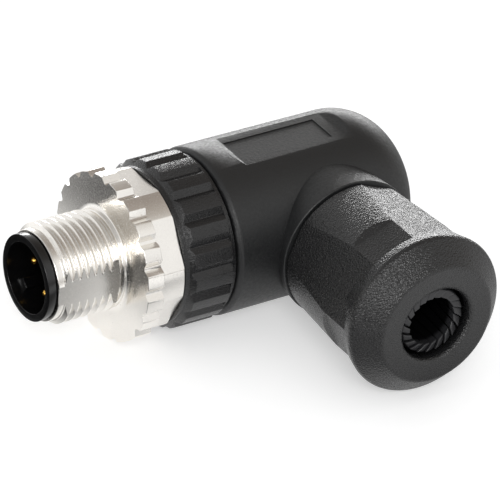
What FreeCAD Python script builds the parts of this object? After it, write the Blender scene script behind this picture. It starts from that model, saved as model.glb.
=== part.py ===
import FreeCAD, Part
import math
import os
import Sketcher

# Angled M12 plug for a cable, to be wired by hand.
# The origin is the middle of the mating face. X runs along the nose into the connector,
# the cable leaves along -Y, and the label field looks up along Z.
# Turned pieces on the cable side are drawn along their own X axis, which points out of the cable entry.

# Driving sizes in millimetres, angles in degrees
SIZES = [
    # Diameter that the grip, union ring, housing and bead share, and how far each stays inside it
    ("plug_dia", 20.0),
    ("ring_inset", 0.075),
    ("housing_inset", 0.05),
    ("bead_inset", 0.025),
    # Insert that carries the contacts
    ("shroud_dia", 10.2),
    ("shroud_wall", 0.9),
    ("shroud_depth", 8.6),
    ("shroud_band", 1.0),
    ("sleeve_step", 0.2),
    ("sleeve_gap", 0.15),
    ("rim_bevel", 0.15),
    ("key_width", 1.4),
    ("key_height", 0.75),
    ("key_angle", 225.0),
    ("flange_step", 1.3),
    ("flange_inset", 0.55),
    ("flange_thick", 1.6),
    ("block_length", 10.15),
    ("block_gap", 0.3),
    ("divider_slot", 1.0),
    ("divider_depth", 2.7),
    # Contacts and their terminal screws
    ("pin_circle", 5.6),
    ("pin_dia", 1.0),
    ("pin_recess", 2.7),
    ("pin_tip_bevel", 0.3),
    ("pin_root_dia", 1.4),
    ("contact_dia", 3.0),
    ("contact_set_back", 0.15),
    ("wire_hole_dia", 1.6),
    ("wire_hole_depth", 6.0),
    ("screw_set_back", 3.0),
    ("screw_shank_dia", 1.9),
    ("screw_head_dia", 2.6),
    ("screw_neck_lift", 0.6),
    ("screw_foot_lift", 0.95),
    ("screw_sink", 0.5),
    ("screw_slot_width", 0.45),
    ("screw_slot_depth", 0.7),
    # Coupling screw
    ("screw_wall", 0.37),
    ("pilot_step", 0.07),
    ("pilot_length", 1.0),
    ("thread_depth", 0.53),
    ("runout_step", 0.12),
    ("runout_length", 0.45),
    ("thread_pitch", 1.0),
    ("thread_length", 6.75),
    ("thread_lead", 0.317),
    ("thread_flat_sink", 0.17),
    ("collar_step", 0.225),
    ("collar_length", 0.7),
    ("grip_thick", 2.45),
    ("grip_notches", 20),
    ("grip_notch_depth", 0.6),
    ("grip_notch_half", 4.4),
    ("grip_notch_floor_half", 1.1),
    ("grip_turn", 1.7),
    ("hex_inset", 0.75),
    ("hex_depth", 0.5),
    ("hex_length", 2.8),
    ("hex_turn", 31.3),
    # Snap ring that holds the coupling screw on the insert
    ("clip_set_back", 2.2),
    ("clip_thick", 0.8),
    ("clip_groove_depth", 0.35),
    ("clip_height", 0.7),
    ("clip_gap", 2.6),
    # Union ring
    ("ring_gap", 0.1),
    ("ring_web", 1.6),
    ("ring_wall", 1.125),
    ("ring_hub_length", 0.62),
    ("ring_hub_inset", 0.725),
    ("ring_bevel", 0.48),
    ("ring_rib_length", 5.41),
    ("ring_ribs", 20),
    ("ring_groove_depth", 0.5),
    ("ring_groove_half", 4.65),
    ("ring_groove_turn", 7.6),
    ("ring_rim_length", 0.62),
    ("ring_rim_inset", 0.425),
    # Angle housing
    ("housing_gap", 0.15),
    ("elbow_length", 14.0),
    ("housing_draft", 0.1),
    ("housing_tail", 12.45),
    ("housing_tail_round", 7.0),
    ("housing_lip_round", 0.65),
    ("spigot_wall", 1.25),
    ("chamber_end", 6.2),
    ("branch_step", 0.2),
    ("branch_taper", 0.55),
    ("branch_end", 10.88),
    ("neck_length", 7.72),
    ("neck_wall", 1.6),
    ("seal_room", 6.0),
    ("seat_ledge", 1.0),
    ("label_sink", 0.55),
    ("label_set_back", 4.5),
    ("label_length", 12.9),
    ("label_ramp_length", 0.9),
    ("label_ramp_height", 0.5),
    ("panel_margin", 0.15),
    ("panel_length", 12.1),
    ("panel_width", 4.2),
    ("panel_depth", 0.2),
    # Cable gland
    ("nut_gap", 0.27),
    ("nut_wall", 1.35),
    ("nut_taper", 0.675),
    ("nut_taper_length", 8.75),
    ("nut_barrel_length", 2.7),
    ("nut_flare", 0.475),
    ("nut_flare_length", 2.35),
    ("bead_height", 0.85),
    ("bead_length", 1.55),
    ("bead_slope", 2.725),
    ("bead_face_length", 2.75),
    ("mouth_gap", 0.45),
    ("mouth_length", 1.65),
    ("nut_mouth_round", 0.6),
    ("long_flat_depth", 1.025),
    ("spanner_flat_depth", 0.425),
    ("nut_turn", 68.0),
    ("nut_thread_relief", 1.4),
    ("cage_step", 0.7),
    ("cage_rim_length", 1.65),
    ("cage_recess", 0.85),
    ("cage_bore", 6.9),
    ("cage_tip_bore", 5.8),
    ("cage_tip_wall", 1.1),
    ("cage_fingers", 20),
    ("cage_slot", 0.22),
    ("cage_twist", 1.5),
    ("seal_bore", 5.6),
    # Clearances
    ("running_gap", 0.05),
    ("fit_gap", 0.03),
    ("seat_gap", 0.05),
    # Seal between the insert's flange and the housing
    ("carrier_seal_thick", 0.7),
]

# Sizes and places that follow from others
FOLLOWING = [
    # Diameters, from the outside in
    ("ring_dia", "plug_dia - 2 * ring_inset"),
    ("housing_dia", "plug_dia - 2 * housing_inset"),
    ("housing_rear_dia", "housing_dia - 2 * housing_draft"),
    ("bead_dia", "plug_dia - 2 * bead_inset"),
    ("hex_corners", "plug_dia - 2 * hex_inset"),
    ("hex_flats", "hex_corners - 2 * hex_depth"),
    ("ring_hub_dia", "ring_dia - 2 * ring_hub_inset"),
    ("ring_rim_dia", "ring_dia - 2 * ring_rim_inset"),
    ("spigot_dia", "ring_dia - 2 * (ring_wall + running_gap)"),
    ("housing_bore", "spigot_dia - 2 * spigot_wall"),
    ("flange_dia", "spigot_dia - 2 * flange_inset"),
    ("step_dia", "flange_dia - 2 * flange_step"),
    ("block_dia", "housing_bore - 2 * block_gap"),
    ("shroud_bore", "shroud_dia - 2 * shroud_wall"),
    ("sleeve_dia", "shroud_dia - 2 * sleeve_step"),
    ("screw_bore", "sleeve_dia + 2 * sleeve_gap"),
    ("thread_root_dia", "screw_bore + 2 * screw_wall"),
    ("thread_dia", "thread_root_dia + 2 * thread_depth"),
    ("thread_flats", "thread_root_dia - 2 * thread_flat_sink"),
    ("pilot_dia", "thread_root_dia - 2 * pilot_step"),
    ("runout_dia", "thread_root_dia - 2 * runout_step"),
    ("collar_dia", "thread_dia - 2 * collar_step"),
    ("clip_groove_dia", "sleeve_dia - 2 * clip_groove_depth"),
    ("clip_dia", "sleeve_dia + 2 * clip_height"),
    ("nut_dia", "bead_dia - 2 * bead_height"),
    ("nut_flare_dia", "nut_dia + 2 * nut_flare"),
    ("nut_small_dia", "nut_dia - 2 * nut_taper"),
    ("nut_flats", "nut_dia - 2 * long_flat_depth"),
    ("nut_spanner_flats", "nut_dia - 2 * spanner_flat_depth"),
    ("bead_face_dia", "bead_dia - 2 * bead_slope"),
    ("branch_dia", "nut_small_dia + 2 * branch_step"),
    ("branch_base_dia", "branch_dia - 2 * branch_taper"),
    ("neck_dia", "nut_small_dia - 2 * nut_wall"),
    ("neck_bore", "neck_dia - 2 * neck_wall"),
    ("wire_bore", "neck_bore - 2 * seat_ledge"),
    ("cage_rim_dia", "neck_dia - 2 * cage_step"),
    ("cage_tip_dia", "cage_tip_bore + 2 * cage_tip_wall"),
    ("nut_mouth_dia", "cage_tip_dia + 2 * mouth_gap"),
    ("label_floor", "housing_dia / 2 - label_sink"),
    # Places along the nose, from the mating face
    ("nose_front", "shroud_band + sleeve_gap"),
    ("thread_start", "nose_front + pilot_length"),
    ("thread_first_groove", "nose_front + thread_lead"),
    ("thread_end", "thread_start + thread_length"),
    ("collar_front", "thread_end + runout_length"),
    ("grip_front", "collar_front + collar_length"),
    ("grip_rear", "grip_front + grip_thick"),
    ("screw_rear", "grip_rear + hex_length"),
    ("clip_front", "screw_rear - clip_set_back"),
    ("ring_hub_front", "screw_rear + ring_gap"),
    ("ring_shoulder", "ring_hub_front + ring_web"),
    ("ring_rib_front", "ring_hub_front + ring_hub_length"),
    ("ring_rib_rear", "ring_rib_front + ring_rib_length"),
    ("ring_rear", "ring_rib_rear + ring_rim_length"),
    ("spigot_front", "ring_shoulder + flange_thick + carrier_seal_thick + 3 * seat_gap"),
    ("contact_front", "spigot_front + contact_set_back"),
    ("block_end", "spigot_front + block_length"),
    ("screw_place", "block_end - screw_set_back"),
    ("screw_top", "block_dia / 2 - screw_sink"),
    ("screw_neck", "(pin_circle + contact_dia) / 2 + screw_neck_lift"),
    ("screw_foot", "pin_circle / 2 + screw_foot_lift"),
    ("housing_front", "ring_rear + housing_gap"),
    ("branch_place", "housing_front + elbow_length"),
    ("label_front", "housing_front + label_set_back"),
    ("panel_front", "label_front + panel_margin"),
    # Places along the cable's axis, from the nose's axis
    ("neck_end", "branch_end + neck_length"),
    ("seal_seat", "neck_end - seal_room"),
    ("nut_front", "branch_end + nut_gap"),
    ("nut_taper_end", "nut_front + nut_taper_length"),
    ("nut_barrel_end", "nut_taper_end + nut_barrel_length"),
    ("nut_flats_end", "nut_barrel_end + nut_flare_length"),
    ("bead_place", "nut_flats_end + bead_length"),
    ("nut_end", "bead_place + bead_face_length"),
    ("nut_thread_end", "neck_end + nut_thread_relief"),
    ("nut_cone_end", "nut_end - mouth_length"),
    ("cage_front", "neck_end + 3 * seat_gap"),
    ("cage_rim_end", "cage_front + cage_rim_length"),
    ("cage_end", "nut_end - cage_recess"),
]

# A cutter reaches this many times as far out as the surface that it opens, and a flat's cutter spans
# this many degrees more than its flat
CUTTER_REACH = 1.5
FLAT_MARGIN = 4.0

doc = FreeCAD.newDocument("connector")
sheet = doc.addObject("Spreadsheet::Sheet", "Sizes")
cells = [(name, str(value)) for name, value in SIZES] + [(name, "=" + formula) for name, formula in FOLLOWING]
for row, (name, content) in enumerate(cells, start=1):
    sheet.set("A%d" % row, name)
    sheet.set("B%d" % row, content)
    sheet.setAlias("B%d" % row, name)
doc.recompute()


class Size:
    """A length that knows its number and the sheet expression that gives it."""

    def __init__(self, number, text):
        self.number = number
        self.text = text

    def __add__(self, other):
        other = as_size(other)
        return Size(self.number + other.number, "(%s + %s)" % (self.text, other.text))

    def __sub__(self, other):
        other = as_size(other)
        return Size(self.number - other.number, "(%s - %s)" % (self.text, other.text))

    def __mul__(self, factor):
        factor = as_size(factor)
        return Size(self.number * factor.number, "(%s * %s)" % (self.text, factor.text))

    def __truediv__(self, divisor):
        divisor = as_size(divisor)
        return Size(self.number / divisor.number, "(%s / %s)" % (self.text, divisor.text))

    def __neg__(self):
        return self * -1


def as_size(value):
    return value if isinstance(value, Size) else Size(float(value), "%.9f" % value)


def size(name):
    return Size(float(sheet.get(name)), "Sizes.%s" % name)


def radius(name):
    return size(name) / 2


def count(name):
    return int(round(size(name).number))


ZERO = as_size(0)
bodies = []


def new_body(label):
    body = doc.addObject("PartDesign::Body", label)
    body.Label = label
    bodies.append(body)
    return body


def origin_feature(body, role):
    return next(part for part in body.Origin.OriginFeatures if part.Role == role)


def hold(sketch, kind, edge, value):
    """Hold the start of an edge at a distance from the sketch's origin."""
    if abs(value.number) < 1e-9:
        axis = -2 if kind == "DistanceX" else -1
        sketch.addConstraint(Sketcher.Constraint("PointOnObject", edge, 1, axis))
        return
    index = sketch.addConstraint(Sketcher.Constraint(kind, edge, 1, value.number))
    sketch.setExpression("Constraints[%d]" % index, value.text)


def draw_outline(sketch, corners):
    """Draw one closed outline of straight edges, each corner held by its two distances."""
    corners = [(as_size(across), as_size(up)) for across, up in corners]
    points = [FreeCAD.Vector(across.number, up.number, 0) for across, up in corners]
    first = sketch.GeometryCount
    total = len(points)
    for i in range(total):
        sketch.addGeometry(Part.LineSegment(points[i], points[(i + 1) % total]), False)
    for i in range(total):
        sketch.addConstraint(Sketcher.Constraint("Coincident", first + i, 2, first + (i + 1) % total, 1))
    for i, (across, up) in enumerate(corners):
        hold(sketch, "DistanceX", first + i, across)
        hold(sketch, "DistanceY", first + i, up)


def draw_circle(sketch, across, up, circle_radius):
    centre = FreeCAD.Vector(across.number, up.number, 0)
    edge = sketch.addGeometry(Part.Circle(centre, FreeCAD.Vector(0, 0, 1), circle_radius.number), False)
    index = sketch.addConstraint(Sketcher.Constraint("Radius", edge, circle_radius.number))
    sketch.setExpression("Constraints[%d]" % index, circle_radius.text)
    for kind, value in (("DistanceX", across), ("DistanceY", up)):
        if abs(value.number) < 1e-9:
            axis = -2 if kind == "DistanceX" else -1
            sketch.addConstraint(Sketcher.Constraint("PointOnObject", edge, 3, axis))
        else:
            index = sketch.addConstraint(Sketcher.Constraint(kind, edge, 3, value.number))
            sketch.setExpression("Constraints[%d]" % index, value.text)


def new_sketch(body, name, role="XY_Plane", lift=ZERO):
    """A sketch on one of the body's own planes, lifted off it by a distance."""
    sketch = body.newObject("Sketcher::SketchObject", name)
    sketch.AttachmentSupport = [(origin_feature(body, role), "")]
    sketch.MapMode = "FlatFace"
    if lift is not ZERO:
        sketch.AttachmentOffset = FreeCAD.Placement(FreeCAD.Vector(0, 0, lift.number), FreeCAD.Rotation())
        sketch.setExpression(".AttachmentOffset.Base.z", lift.text)
    return sketch


def spin(body, kind, name, corners, axis="H_Axis"):
    """Turn an outline about an axis of its sketch, to add or to remove material."""
    sketch = new_sketch(body, name + "_outline")
    draw_outline(sketch, corners)
    feature = body.newObject("PartDesign::" + kind, name)
    feature.Profile = (sketch, [""])
    feature.ReferenceAxis = (sketch, [axis])
    feature.Angle = 360
    return feature


def cut(body, name, sketch, length, symmetric=False, reversed_way=False):
    pocket = body.newObject("PartDesign::Pocket", name)
    pocket.Profile = (sketch, [""])
    pocket.Type = "Length"
    pocket.SideType = "Symmetric" if symmetric else "One side"
    pocket.Reversed = reversed_way
    pocket.setExpression("Length", as_size(length).text)
    return pocket


def pad(body, name, sketch, length, reversed_way=False):
    feature = body.newObject("PartDesign::Pad", name)
    feature.Profile = (sketch, [""])
    feature.Type = "Length"
    feature.Reversed = reversed_way
    feature.setExpression("Length", as_size(length).text)
    return feature


def around(body, name, feature, copies):
    """Repeat a feature evenly around the body's X axis."""
    pattern = body.newObject("PartDesign::PolarPattern", name)
    pattern.Originals = [feature]
    pattern.Axis = (origin_feature(body, "X_Axis"), [""])
    pattern.Angle = 360
    pattern.Occurrences = copies
    body.Tip = pattern
    return pattern


def edges_where(feature, test):
    doc.recompute()
    return ["Edge%d" % (i + 1) for i, edge in enumerate(feature.Shape.Edges) if test(edge)]


def is_ring(edge, place, ring_radius, axis="x"):
    """Whether an edge is part of a circle about the axis, at this place and radius."""
    if not isinstance(edge.Curve, Part.Circle):
        return False
    centre = edge.Curve.Center
    along = centre.x if axis == "x" else centre.y
    off = math.hypot(centre.y, centre.z) if axis == "x" else math.hypot(centre.x, centre.z)
    return abs(along - place.number) < 0.02 and off < 0.02 and abs(edge.Curve.Radius - ring_radius.number) < 0.02


def soften(body, kind, name, feature, edge_names, amount):
    """Round or bevel the named edges of a feature."""
    finish = body.newObject("PartDesign::" + kind, name)
    finish.Base = (feature, edge_names)
    finish.setExpression("Radius" if kind == "Fillet" else "Size", as_size(amount).text)
    body.Tip = finish
    return finish


def polar(reach, degrees):
    """Corner at a radius and an angle from the first axis of a sketch."""
    turn = math.radians(degrees)
    return (as_size(reach) * math.cos(turn), as_size(reach) * math.sin(turn))


def turned_corners(corners, degrees):
    """Corners turned about the sketch's origin."""
    turn = math.radians(degrees)
    return [
        (across * math.cos(turn) - up * math.sin(turn), across * math.sin(turn) + up * math.cos(turn))
        for across, up in corners
    ]


def nose_angle(degrees):
    """Sketch angle of a place on the nose, counted from the cable side towards the label."""
    return 180.0 - degrees


def past(inner, surface):
    """Corner of a cutter beyond the surface, on the line from an inner corner through one at the surface."""
    return tuple(start + (stop - start) * CUTTER_REACH for start, stop in zip(inner, surface))


def flat_cutter(sketch, apothem, outside, middle):
    """Outline that takes away all that lies outside a flat, for a blank of this outside radius."""
    half = math.degrees(math.acos(apothem.number / outside.number)) + FLAT_MARGIN
    near = apothem / math.cos(math.radians(half))
    draw_outline(sketch, [
        polar(near, middle - half),
        polar(near * CUTTER_REACH, middle - half),
        polar(near * CUTTER_REACH, middle + half),
        polar(near, middle + half),
    ])


def put_on_cable_axis(body):
    """Stand a piece that was drawn along its own X axis on the branch, pointing out of the cable entry."""
    body.Placement = FreeCAD.Placement(
        FreeCAD.Vector(size("branch_place").number, 0, 0), FreeCAD.Rotation(FreeCAD.Vector(0, 0, 1), -90)
    )
    body.setExpression(".Placement.Base.x", size("branch_place").text)


def contact_places():
    """Angle of each contact about the nose, in the order of their numbers."""
    first = size("key_angle").number - 45.0
    return [(number, first + 90.0 * (number - 1)) for number in (1, 2, 3, 4)]


# Coupling screw: turned nose with a rolled M12 thread, two flats, a notched grip and a hexagon
def make_coupling_screw():
    body = new_body("coupling_screw")
    bore = radius("screw_bore")
    clip_room = size("clip_front") - size("running_gap")
    clip_room_rear = size("clip_front") + size("clip_thick") + size("running_gap")
    clip_room_radius = radius("clip_dia") + size("running_gap")
    nose_bevel = size("rim_bevel")
    spin(body, "Revolution", "turned_blank", [
        (size("nose_front"), bore),
        (size("nose_front"), radius("pilot_dia") - nose_bevel),
        (size("nose_front") + nose_bevel, radius("pilot_dia")),
        (size("thread_start") - size("thread_pitch") / 4, radius("pilot_dia")),
        (size("thread_start"), radius("thread_dia")),
        (size("thread_end"), radius("thread_dia")),
        (size("thread_end"), radius("runout_dia")),
        (size("collar_front"), radius("runout_dia")),
        (size("collar_front"), radius("collar_dia")),
        (size("grip_front"), radius("collar_dia")),
        (size("grip_front"), radius("plug_dia")),
        (size("grip_rear"), radius("plug_dia")),
        (size("grip_rear"), radius("hex_corners")),
        (size("screw_rear"), radius("hex_corners")),
        (size("screw_rear"), bore),
        (clip_room_rear, bore),
        (clip_room_rear, clip_room_radius),
        (clip_room, clip_room_radius),
        (clip_room, bore),
    ])

    # Two flats milled across the thread, one facing the cable side and one opposite
    flat_outline = new_sketch(body, "thread_flat_outline")
    reach = size("thread_dia")
    half = size("thread_flats") / 2
    draw_outline(flat_outline, [
        (size("nose_front") - 1, half),
        (size("collar_front"), half),
        (size("collar_front"), reach),
        (size("nose_front") - 1, reach),
    ])
    flat = cut(body, "thread_flat", flat_outline, reach * 2, symmetric=True)
    around(body, "thread_flats", flat, 2)

    # Thread groove of 60 degrees, wound once around for each pitch
    depth = radius("thread_dia") - radius("thread_root_dia")
    floor_half = size("thread_pitch") / 8
    mouth_half = floor_half + depth * math.tan(math.radians(30))
    overshoot = size("thread_pitch") / 20
    thread_outline = new_sketch(body, "thread_outline")
    groove_place = size("thread_first_groove")
    draw_outline(thread_outline, [
        (groove_place - floor_half, radius("thread_root_dia")),
        (groove_place + floor_half, radius("thread_root_dia")),
        (groove_place + mouth_half, radius("thread_dia")),
        (groove_place + mouth_half, radius("thread_dia") + overshoot),
        (groove_place - mouth_half, radius("thread_dia") + overshoot),
        (groove_place - mouth_half, radius("thread_dia")),
    ])
    thread = body.newObject("PartDesign::SubtractiveHelix", "thread")
    thread.Profile = (thread_outline, [""])
    thread.ReferenceAxis = (thread_outline, ["H_Axis"])
    thread.Mode = "pitch-height-angle"
    thread.setExpression("Pitch", size("thread_pitch").text)
    thread.setExpression("Height", (size("collar_front") - mouth_half - groove_place).text)
    thread.Angle = 0

    # Notches around the grip
    notch_outline = new_sketch(body, "grip_notch_outline", "YZ_Plane", size("grip_front") - 1)
    middle = size("grip_turn").number
    mouth = size("grip_notch_half").number
    floor = size("grip_notch_floor_half").number
    notch_floor = radius("plug_dia") - size("grip_notch_depth")
    first = polar(notch_floor, nose_angle(middle - floor))
    second = polar(notch_floor, nose_angle(middle + floor))
    draw_outline(notch_outline, [
        first,
        second,
        past(second, polar(radius("plug_dia"), nose_angle(middle + mouth))),
        past(first, polar(radius("plug_dia"), nose_angle(middle - mouth))),
    ])
    notch = cut(body, "grip_notch", notch_outline, size("grip_thick") + 1, reversed_way=True)
    around(body, "grip_notches", notch, count("grip_notches"))

    # Six flats of the hexagon, whose corners stay round
    flat_outline = new_sketch(body, "hex_flat_outline", "YZ_Plane", size("grip_rear"))
    flat_cutter(flat_outline, size("hex_flats") / 2, radius("hex_corners"), nose_angle(size("hex_turn").number))
    flat = cut(body, "hex_flat", flat_outline, size("hex_length"), reversed_way=True)
    around(body, "hex_flats", flat, 6)


# Spring steel snap ring, open at one side
def make_retaining_clip():
    body = new_body("retaining_clip")
    spin(body, "Revolution", "ring", [
        (size("clip_front"), radius("clip_groove_dia") + size("fit_gap")),
        (size("clip_front"), radius("clip_dia")),
        (size("clip_front") + size("clip_thick"), radius("clip_dia")),
        (size("clip_front") + size("clip_thick"), radius("clip_groove_dia") + size("fit_gap")),
    ])
    gap_outline = new_sketch(body, "gap_outline", "YZ_Plane", size("clip_front") - 1)
    half = size("clip_gap") / 2
    draw_outline(gap_outline, [
        (-half, ZERO),
        (half, ZERO),
        (half, radius("clip_dia") * CUTTER_REACH),
        (-half, radius("clip_dia") * CUTTER_REACH),
    ])
    body.Tip = cut(body, "gap", gap_outline, size("clip_thick") + 2, reversed_way=True)


# Union ring: moulded clamping ring with flat ribs and V grooves
def make_union_ring():
    body = new_body("union_ring")
    spin(body, "Revolution", "moulded_blank", [
        (size("ring_hub_front"), radius("step_dia") + size("running_gap")),
        (size("ring_hub_front"), radius("ring_hub_dia")),
        (size("ring_rib_front"), radius("ring_hub_dia")),
        (size("ring_rib_front") + size("ring_bevel"), radius("ring_dia")),
        (size("ring_rib_rear") - size("rim_bevel"), radius("ring_dia")),
        (size("ring_rib_rear"), radius("ring_rim_dia")),
        (size("ring_rear"), radius("ring_rim_dia")),
        (size("ring_rear"), radius("spigot_dia") + size("running_gap")),
        (size("ring_shoulder"), radius("spigot_dia") + size("running_gap")),
        (size("ring_shoulder"), radius("step_dia") + size("running_gap")),
    ])
    groove_outline = new_sketch(body, "groove_outline", "YZ_Plane", size("ring_hub_front"))
    middle = size("ring_groove_turn").number
    half = size("ring_groove_half").number
    floor = polar(radius("ring_dia") - size("ring_groove_depth"), nose_angle(middle))
    draw_outline(groove_outline, [
        floor,
        past(floor, polar(radius("ring_dia"), nose_angle(middle + half))),
        past(floor, polar(radius("ring_dia"), nose_angle(middle - half))),
    ])
    groove = cut(body, "groove", groove_outline, size("ring_rib_rear") - size("ring_hub_front"), reversed_way=True)
    around(body, "grooves", groove, count("ring_ribs"))


# Insert: one moulding with the shroud, the neck for the coupling screw, the clamping flange and the terminal block
def make_contact_carrier():
    body = new_body("contact_carrier")
    flange_front = size("ring_shoulder") + size("seat_gap")
    flange_rear = flange_front + size("flange_thick")
    step_front = size("screw_rear") + size("running_gap")
    spin(body, "Revolution", "moulded_blank", [
        (size("shroud_depth"), ZERO),
        (size("shroud_depth"), radius("shroud_bore")),
        (size("rim_bevel"), radius("shroud_bore")),
        (ZERO, radius("shroud_bore") + size("rim_bevel")),
        (ZERO, radius("shroud_dia") - size("rim_bevel")),
        (size("rim_bevel"), radius("shroud_dia")),
        (size("shroud_band"), radius("shroud_dia")),
        (size("shroud_band"), radius("sleeve_dia")),
        (size("clip_front") - size("fit_gap"), radius("sleeve_dia")),
        (size("clip_front") - size("fit_gap"), radius("clip_groove_dia")),
        (size("clip_front") + size("clip_thick") + size("fit_gap"), radius("clip_groove_dia")),
        (size("clip_front") + size("clip_thick") + size("fit_gap"), radius("sleeve_dia")),
        (step_front, radius("sleeve_dia")),
        (step_front, radius("step_dia")),
        (flange_front, radius("step_dia")),
        (flange_front, radius("flange_dia")),
        (flange_rear, radius("flange_dia")),
        (flange_rear, radius("block_dia")),
        (size("block_end"), radius("block_dia")),
        (size("block_end"), ZERO),
    ])

    # Coding key along the shroud's wall
    key_outline = new_sketch(body, "key_outline", "YZ_Plane", size("shroud_depth"))
    turn = size("key_angle").number
    key_half = math.degrees(math.asin(size("key_width").number / size("shroud_bore").number))
    inner = radius("shroud_bore") - size("key_height")
    outer = radius("shroud_bore") + size("rim_bevel")
    draw_outline(key_outline, [
        polar(inner, nose_angle(turn - key_half)),
        polar(inner, nose_angle(turn + key_half)),
        polar(outer, nose_angle(turn + key_half)),
        polar(outer, nose_angle(turn - key_half)),
    ])
    pad(body, "key", key_outline, size("shroud_depth") - size("pin_recess") / 2, reversed_way=True)

    # Stepped hole for each contact
    first = contact_places()[0][1]
    across, up = polar(radius("pin_circle"), nose_angle(first))
    pin_hole_outline = new_sketch(body, "pin_hole_outline", "YZ_Plane", size("shroud_depth") - 1)
    draw_circle(pin_hole_outline, across, up, radius("pin_root_dia") + size("fit_gap"))
    pin_hole = cut(body, "pin_hole", pin_hole_outline, size("block_end"), reversed_way=True)
    around(body, "pin_holes", pin_hole, 4)
    room_outline = new_sketch(body, "contact_room_outline", "YZ_Plane", size("contact_front") - size("seat_gap"))
    draw_circle(room_outline, across, up, radius("contact_dia") + size("fit_gap"))
    room = cut(body, "contact_room", room_outline, size("block_end"), reversed_way=True)
    around(body, "contact_rooms", room, 4)

    # Shaft for each terminal screw, drawn for the one that looks up
    shaft_outline = new_sketch(body, "screw_shaft_outline", "XY_Plane", radius("pin_circle"))
    draw_circle(shaft_outline, size("screw_place"), ZERO, radius("screw_head_dia") + size("running_gap"))
    shaft = cut(body, "screw_shaft", shaft_outline, radius("block_dia"), reversed_way=True)
    around(body, "screw_shafts", shaft, 4)

    # Slots between the terminals, where the wires part
    slot_outline = new_sketch(body, "divider_outline", "YZ_Plane", size("block_end") - size("wire_hole_depth") / 2)
    half = size("divider_slot") / 2
    draw_outline(slot_outline, turned_corners([
        (radius("block_dia") - size("divider_depth"), -half),
        (radius("block_dia") * CUTTER_REACH, -half),
        (radius("block_dia") * CUTTER_REACH, half),
        (radius("block_dia") - size("divider_depth"), half),
    ], nose_angle(first + 45.0)))
    slot = cut(body, "divider", slot_outline, size("wire_hole_depth"), reversed_way=True)
    around(body, "dividers", slot, 4)


def place_contact_part(body, degrees):
    """Turn a piece about the nose, so that its own Z axis points outwards at this angle."""
    body.Placement = FreeCAD.Placement(
        FreeCAD.Vector(0, 0, 0), FreeCAD.Rotation(FreeCAD.Vector(1, 0, 0), 90.0 - degrees)
    )


# Turned contact: round pin with a domed tip, and a thick rear end with the wire hole
def make_contact_pin(number, degrees):
    body = new_body("contact_pin_%d" % number)
    rear = size("block_end") - size("running_gap")
    tip_round = size("pin_tip_bevel")
    lift = radius("pin_circle")
    sketch = new_sketch(body, "outline", "XZ_Plane")
    sketch.AttachmentOffset = FreeCAD.Placement(FreeCAD.Vector(0, lift.number, 0), FreeCAD.Rotation())
    sketch.setExpression(".AttachmentOffset.Base.y", lift.text)
    draw_outline(sketch, [
        (size("pin_recess"), ZERO),
        (size("pin_recess"), radius("pin_dia") - tip_round),
        (size("pin_recess") + tip_round, radius("pin_dia")),
        (size("shroud_depth"), radius("pin_dia")),
        (size("shroud_depth"), radius("pin_root_dia")),
        (size("contact_front"), radius("pin_root_dia")),
        (size("contact_front"), radius("contact_dia")),
        (rear, radius("contact_dia")),
        (rear, radius("wire_hole_dia")),
        (rear - size("wire_hole_depth"), radius("wire_hole_dia")),
        (rear - size("wire_hole_depth"), ZERO),
    ])
    blank = body.newObject("PartDesign::Revolution", "turned_blank")
    blank.Profile = (sketch, [""])
    blank.ReferenceAxis = (sketch, ["H_Axis"])
    blank.Angle = 360
    screw_hole_outline = new_sketch(body, "screw_hole_outline", "XY_Plane", lift)
    draw_circle(screw_hole_outline, size("screw_place"), ZERO, radius("screw_shank_dia") + size("running_gap"))
    body.Tip = cut(body, "screw_hole", screw_hole_outline, size("contact_dia"), reversed_way=True)
    place_contact_part(body, degrees)


# Slotted terminal screw, drawn upright and seated above its contact
def make_terminal_screw(number, degrees):
    body = new_body("terminal_screw_%d" % number)
    sketch = new_sketch(body, "outline", "XZ_Plane")
    draw_outline(sketch, [
        (ZERO, size("screw_foot")),
        (radius("screw_shank_dia"), size("screw_foot")),
        (radius("screw_shank_dia"), size("screw_neck")),
        (radius("screw_head_dia"), size("screw_neck")),
        (radius("screw_head_dia"), size("screw_top")),
        (ZERO, size("screw_top")),
    ])
    blank = body.newObject("PartDesign::Revolution", "turned_blank")
    blank.Profile = (sketch, [""])
    blank.ReferenceAxis = (sketch, ["V_Axis"])
    blank.Angle = 360
    slot_outline = new_sketch(body, "slot_outline", "XZ_Plane")
    half = size("screw_slot_width") / 2
    draw_outline(slot_outline, [
        (-half, size("screw_top") - size("screw_slot_depth")),
        (half, size("screw_top") - size("screw_slot_depth")),
        (half, size("screw_top") + 1),
        (-half, size("screw_top") + 1),
    ])
    body.Tip = cut(body, "slot", slot_outline, size("screw_head_dia") * 2, symmetric=True)
    turn = FreeCAD.Rotation(FreeCAD.Vector(1, 0, 0), 90.0 - degrees)
    body.Placement = FreeCAD.Placement(FreeCAD.Vector(size("screw_place").number, 0, 0), turn)
    body.setExpression(".Placement.Base.x", size("screw_place").text)


# Flat gasket between the insert's flange and the housing
def make_carrier_seal():
    body = new_body("carrier_seal")
    rear = size("spigot_front") - size("seat_gap")
    front = rear - size("carrier_seal_thick")
    spin(body, "Revolution", "ring", [
        (front, radius("block_dia") + size("running_gap")),
        (front, radius("flange_dia")),
        (rear, radius("flange_dia")),
        (rear, radius("block_dia") + size("running_gap")),
    ])


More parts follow.
